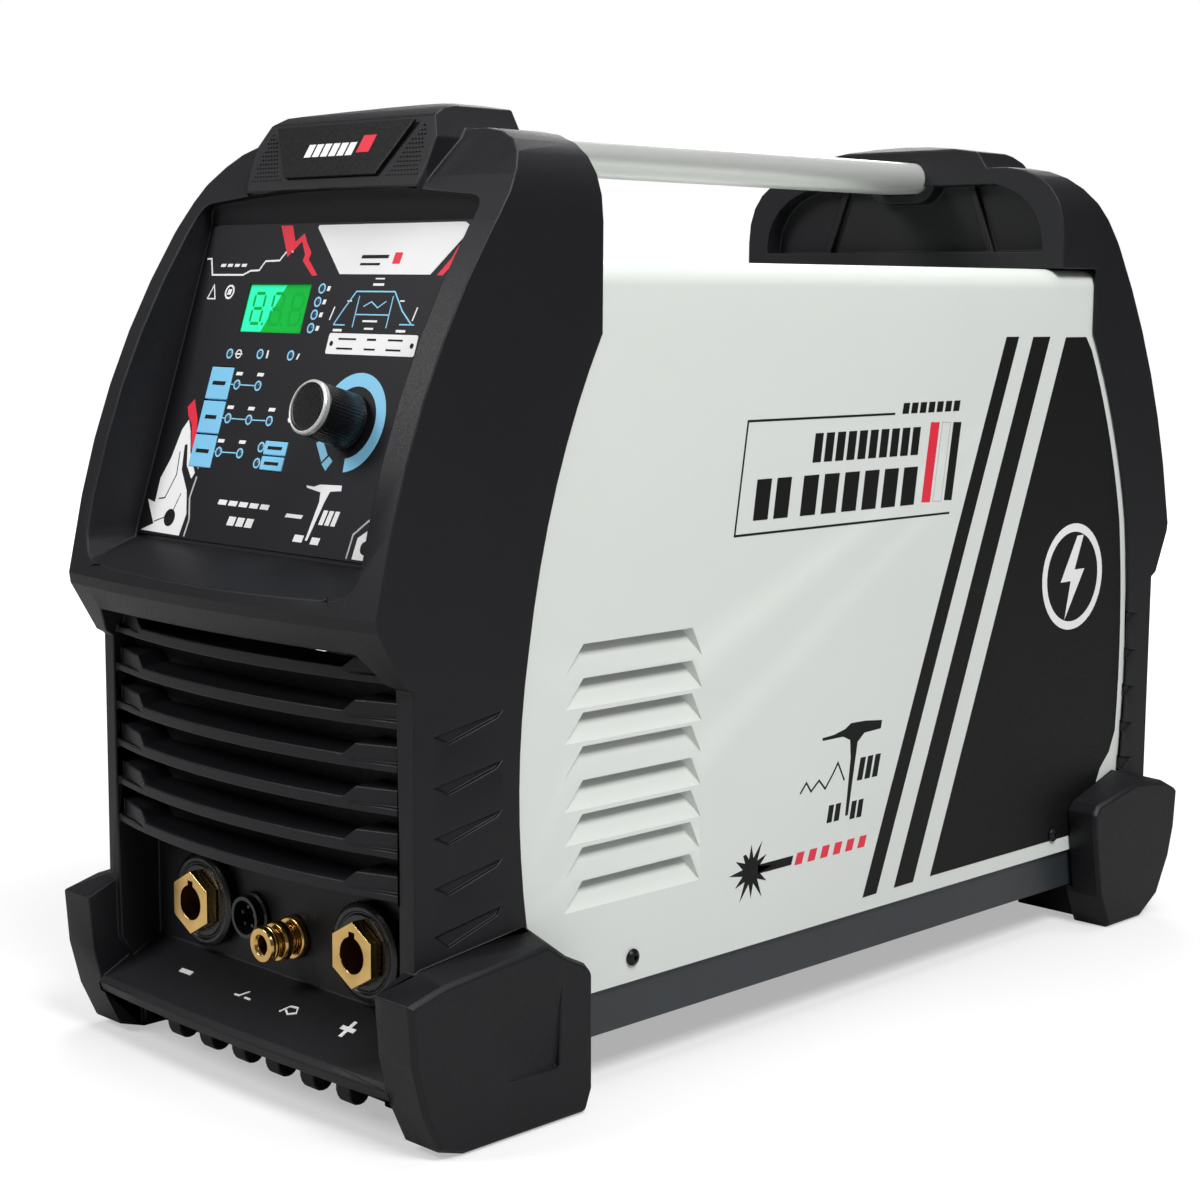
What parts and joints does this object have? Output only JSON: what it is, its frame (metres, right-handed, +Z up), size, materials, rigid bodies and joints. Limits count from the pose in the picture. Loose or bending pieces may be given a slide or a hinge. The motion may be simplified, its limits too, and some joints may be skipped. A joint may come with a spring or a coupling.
{
  "type": "TIG welding machine",
  "caption": "Portable arc welding power source with dark moulded ends, pale steel cover, tube handle, control panel, brass sockets and rear fan.",
  "frame": {"origin": "centre of the bounding box's bottom, on the ground between the four feet", "axes": "+X across the machine to the right as seen from the control panel, +Y from the control panel towards the rear, +Z up"},
  "size_m": [0.2112, 0.5048, 0.3617],
  "materials": {
    "moulded_plastic": "fine moulded grain",
    "gloss_black": "satin to gloss",
    "cover_paint": "smooth powder coat",
    "tray_paint": "satin powder coat",
    "black_zinc": "black zinc plate",
    "bright_steel": "bright zinc plate",
    "aluminium": "satin, brushed along its length",
    "brass": "machined",
    "copper": "plain copper bar and lacquered wire",
    "overlay_film": "satin printed film",
    "display_green": "clear tinted window",
    "key_blue": "satin",
    "board_green": "solder mask",
    "ferrite": "dull ground ferrite",
    "rubber_black": "matt"
  },
  "bodies": {
    "machine": {"front_bezel": "moulded_plastic", "dust_filter": "rubber_black", "rear_bezel": "moulded_plastic", "cover": "cover_paint", "cover_screw_1": "black_zinc", "cover_screw_2": "black_zinc", "cover_screw_3": "black_zinc", "cover_screw_4": "black_zinc", "base_tray": "tray_paint", "handle_tube": "aluminium", "handle_insert_front": "aluminium", "handle_bolt_front": "black_zinc", "handle_insert_rear": "aluminium", "handle_bolt_rear": "black_zinc", "badge_plate": "gloss_black", "control_overlay": "overlay_film", "display_window": "display_green", "display_module": "gloss_black", "control_board": "board_green", "encoder_body": "bright_steel", "dinse_insulator_negative": "gloss_black", "dinse_insert_negative": "brass", "dinse_insulator_positive": "gloss_black", "dinse_insert_positive": "brass", "gas_outlet": "brass", "gas_outlet_collar": "brass", "torch_socket": "gloss_black", "torch_socket_nut": "bright_steel", "mains_switch_body": "gloss_black", "cable_gland": "moulded_plastic", "cable_gland_nut": "moulded_plastic", "gas_inlet": "brass", "fan_frame": "gloss_black", "heatsink_primary": "aluminium", "heatsink_secondary": "aluminium", "main_board": "board_green", "capacitor_1": "gloss_black", "capacitor_2": "gloss_black", "capacitor_3": "gloss_black", "transformer_core": "ferrite", "transformer_winding": "copper", "output_choke": "copper", "hf_coil": "ferrite", "busbar_negative": "copper", "busbar_positive": "copper", "solenoid_valve": "brass", "solenoid_coil": "rubber_black", "gas_hose": "rubber_black"},
    "encoder": {"encoder_rotor": "bright_steel"},
    "control_knob": {"encoder_shaft": "bright_steel", "knob": "gloss_black", "knob_ring": "aluminium", "knob_cap": "gloss_black"},
    "key_output_cap": {"key_output": "key_blue"},
    "key_mode_cap": {"key_mode": "key_blue"},
    "key_trigger_cap": {"key_trigger": "key_blue"},
    "key_save_cap": {"key_save": "key_blue"},
    "key_load_cap": {"key_load": "key_blue"},
    "fan": {"fan_rotor": "gloss_black"},
    "rocker": {"mains_switch_rocker": "gloss_black"}
  },
  "joints": [
    {"name": "knob_turn", "type": "hinge", "parent": "machine", "child": "encoder", "pos_m": [0.0325, -0.20736, 0.24633], "axis": [0, -0.9514, 0.308], "continuous": true},
    {"name": "knob_press", "type": "slide", "parent": "encoder", "child": "control_knob", "axis": [0, 0.9514, -0.308], "range_m": [0, 0.0006], "stiffness_N_per_m": 3000, "springref_m": -0.0006},
    {"name": "key_output_press", "type": "slide", "parent": "machine", "child": "key_output_cap", "axis": [0, 0.9514, -0.308], "range_m": [0, 0.0005], "stiffness_N_per_m": 2500, "springref_m": -0.0005},
    {"name": "key_mode_press", "type": "slide", "parent": "machine", "child": "key_mode_cap", "axis": [0, 0.9514, -0.308], "range_m": [0, 0.0005], "stiffness_N_per_m": 2500, "springref_m": -0.0005},
    {"name": "key_trigger_press", "type": "slide", "parent": "machine", "child": "key_trigger_cap", "axis": [0, 0.9514, -0.308], "range_m": [0, 0.0005], "stiffness_N_per_m": 2500, "springref_m": -0.0005},
    {"name": "key_save_press", "type": "slide", "parent": "machine", "child": "key_save_cap", "axis": [0, 0.9514, -0.308], "range_m": [0, 0.0005], "stiffness_N_per_m": 2500, "springref_m": -0.0005},
    {"name": "key_load_press", "type": "slide", "parent": "machine", "child": "key_load_cap", "axis": [0, 0.9514, -0.308], "range_m": [0, 0.0005], "stiffness_N_per_m": 2500, "springref_m": -0.0005},
    {"name": "fan_spin", "type": "hinge", "parent": "machine", "child": "fan", "pos_m": [0, 0.2065, 0.128], "axis": [0, 1, 0], "continuous": true},
    {"name": "mains_switch_tilt", "type": "hinge", "parent": "machine", "child": "rocker", "pos_m": [0.045, 0.19747, 0.27361], "axis": [-1, 0, 0], "range_deg": [0, 23]}
  ]
}
